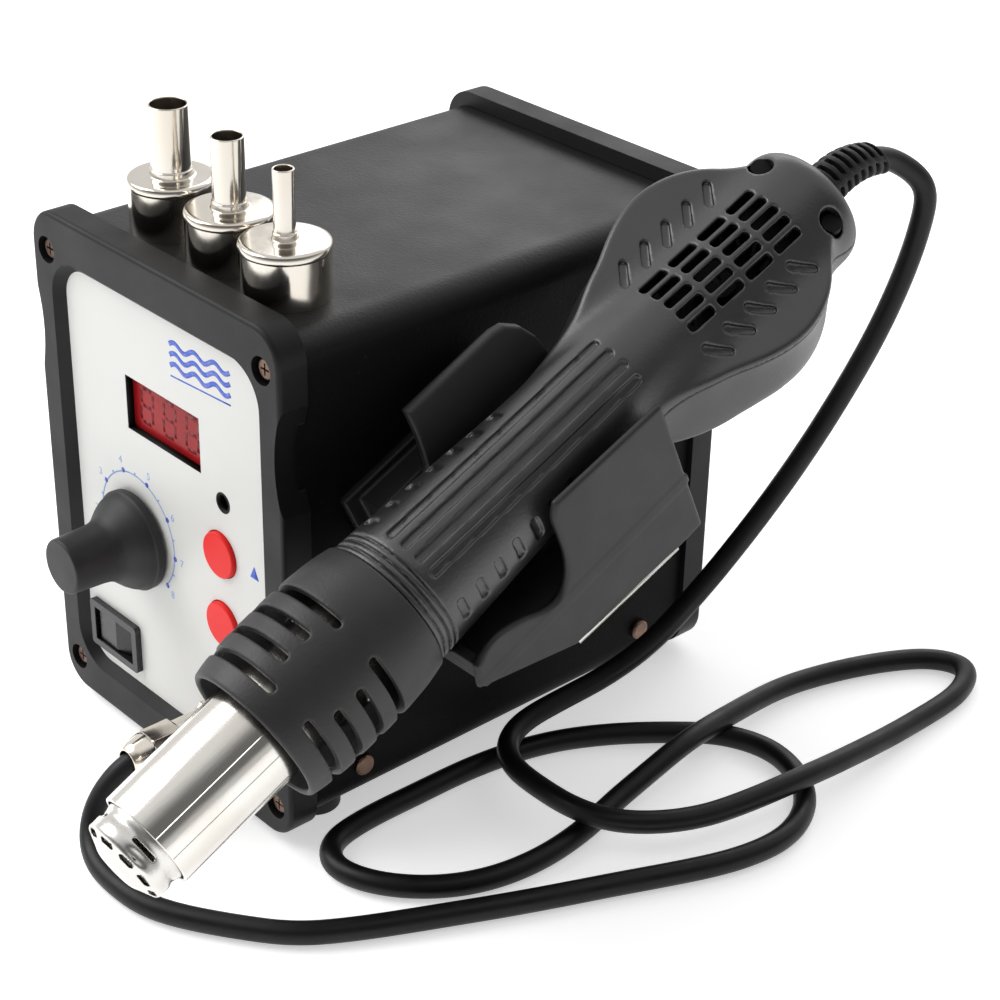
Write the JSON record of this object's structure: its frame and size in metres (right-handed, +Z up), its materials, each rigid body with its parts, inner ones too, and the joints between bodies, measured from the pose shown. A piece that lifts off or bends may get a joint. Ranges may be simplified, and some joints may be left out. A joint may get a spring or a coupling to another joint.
{
  "type": "hot air station",
  "caption": "Bench hot-air soldering station: upright case with display, knob and buttons, hot-air gun parked in a side cradle on a coiled cable, and spare nozzles on the case top.",
  "frame": {"origin": "on the bench under the centre of the case", "axes": "+Z up, -Y is the front panel's outward direction, +X is the side the gun is parked on"},
  "size_m": [0.1778, 0.2652, 0.1685],
  "materials": {
    "charcoal_plastic": "satin charcoal moulding",
    "case_paint": "fine textured black powder coat",
    "panel_white": "smooth white enamel",
    "rear_paint": "textured black powder coat",
    "screw_metal": "warm plated steel",
    "tray_steel": "galvanised sheet",
    "foot_rubber": "matt rubber",
    "window_red": "smoked red acrylic",
    "display_black": "dark LED block",
    "board_green": "solder-masked laminate",
    "knob_plastic": "satin black phenolic",
    "button_red": "glossy red",
    "switch_black": "glossy black",
    "chrome_gland": "polished nickel plate",
    "core_steel": "varnished laminations",
    "copper": "enamelled copper wire",
    "sink_alu": "extruded aluminium",
    "black_plastic": "black moulding",
    "fuse_glass": "clear glass tube",
    "magnet_steel": "nickel-plated magnet",
    "nozzle_steel": "pressed stainless, heat tinted",
    "gun_plastic": "satin black ABS",
    "guard_plastic": "satin heat-resistant plastic",
    "barrel_steel": "polished stainless tube",
    "mica": "mica sheet",
    "ceramic": "unglazed ceramic",
    "heater_wire": "resistance wire",
    "cable_pvc": "soft black sheath",
    "can_plastic": "capacitor sleeve",
    "post_nylon": "nylon spacer",
    "trimmer_blue": "trimmer case"
  },
  "bodies": {
    "station": {"case_shell": "case_paint", "front_bezel": "charcoal_plastic", "rear_bezel": "charcoal_plastic", "front_panel": "panel_white", "rear_panel": "rear_paint", "bezel_screws": "screw_metal", "side_screws": "screw_metal", "chassis_tray": "tray_steel", "rubber_feet": "foot_rubber", "foot_screws": "screw_metal", "display_window": "window_red", "display_module": "display_black", "control_board": "board_green", "board_posts": "post_nylon", "potentiometer": "tray_steel", "potentiometer_nut": "screw_metal", "tact_switches": "switch_black", "cal_trimmer": "trimmer_blue", "power_switch_frame": "switch_black", "cable_gland": "chrome_gland", "gland_nut": "chrome_gland", "transformer_core": "core_steel", "transformer_clamp": "tray_steel", "transformer_windings": "copper", "tray_screws": "screw_metal", "power_board": "board_green", "heat_sink": "sink_alu", "triac": "black_plastic", "capacitors": "can_plastic", "mains_inlet": "black_plastic", "gun_holder": "charcoal_plastic", "holder_screws": "screw_metal", "holder_magnet": "magnet_steel", "handle_cable": "cable_pvc"},
    "knob": {"airflow_knob": "knob_plastic", "potentiometer_shaft": "sink_alu"},
    "up_button": {"temperature_up_button": "button_red"},
    "down_button": {"temperature_down_button": "button_red"},
    "rocker": {"power_rocker": "switch_black"},
    "fuse_tray": {"fuse_drawer": "black_plastic", "mains_fuse": "fuse_glass"},
    "large_nozzle": {"nozzle_large": "nozzle_steel"},
    "medium_nozzle": {"nozzle_medium": "nozzle_steel"},
    "small_nozzle": {"nozzle_small": "nozzle_steel"},
    "gun": {"upper_shell": "gun_plastic", "lower_shell": "gun_plastic", "shell_screws": "screw_metal", "heat_guard": "guard_plastic", "barrel_tube": "barrel_steel", "barrel_tip": "nozzle_steel", "mica_sleeve": "mica", "heater_core": "ceramic", "heater_coil": "heater_wire", "thermocouple": "barrel_steel", "blower_housing": "black_plastic", "blower_motor": "tray_steel", "handle_board": "board_green", "reed_switch": "fuse_glass", "strain_relief": "foot_rubber"},
    "fan": {"impeller": "black_plastic"}
  },
  "joints": [
    {"name": "gun_lift", "type": "slide", "parent": "station", "child": "gun", "axis": [0, -0.4337, 0.9011], "range_m": [0, 0.07]},
    {"name": "impeller_spin", "type": "hinge", "parent": "gun", "child": "fan", "pos_m": [0.081, 0.0335, 0.13423], "axis": [0.454, -0.3864, 0.8029], "continuous": true},
    {"name": "knob_turn", "type": "hinge", "parent": "station", "child": "knob", "pos_m": [-0.0144, -0.0694, 0.0611], "axis": [0, -1, 0], "range_deg": [-150, 150]},
    {"name": "up_press", "type": "slide", "parent": "station", "child": "up_button", "axis": [0, 1, 0], "range_m": [0, 0.0008]},
    {"name": "down_press", "type": "slide", "parent": "station", "child": "down_button", "axis": [0, 1, 0], "range_m": [0, 0.0008]},
    {"name": "rocker_tip", "type": "hinge", "parent": "station", "child": "rocker", "pos_m": [-0.027, -0.0688, 0.0261], "axis": [0, 0, -1], "range_deg": [0, 18]},
    {"name": "fuse_slide", "type": "slide", "parent": "station", "child": "fuse_tray", "axis": [0, 1, 0], "range_m": [0, 0.016]},
    {"name": "large_nozzle_lift", "type": "slide", "parent": "station", "child": "large_nozzle", "axis": [0, 0, 1], "range_m": [0, 0.03]},
    {"name": "medium_nozzle_lift", "type": "slide", "parent": "station", "child": "medium_nozzle", "axis": [0, 0, 1], "range_m": [0, 0.03]},
    {"name": "small_nozzle_lift", "type": "slide", "parent": "station", "child": "small_nozzle", "axis": [0, 0, 1], "range_m": [0, 0.03]}
  ]
}
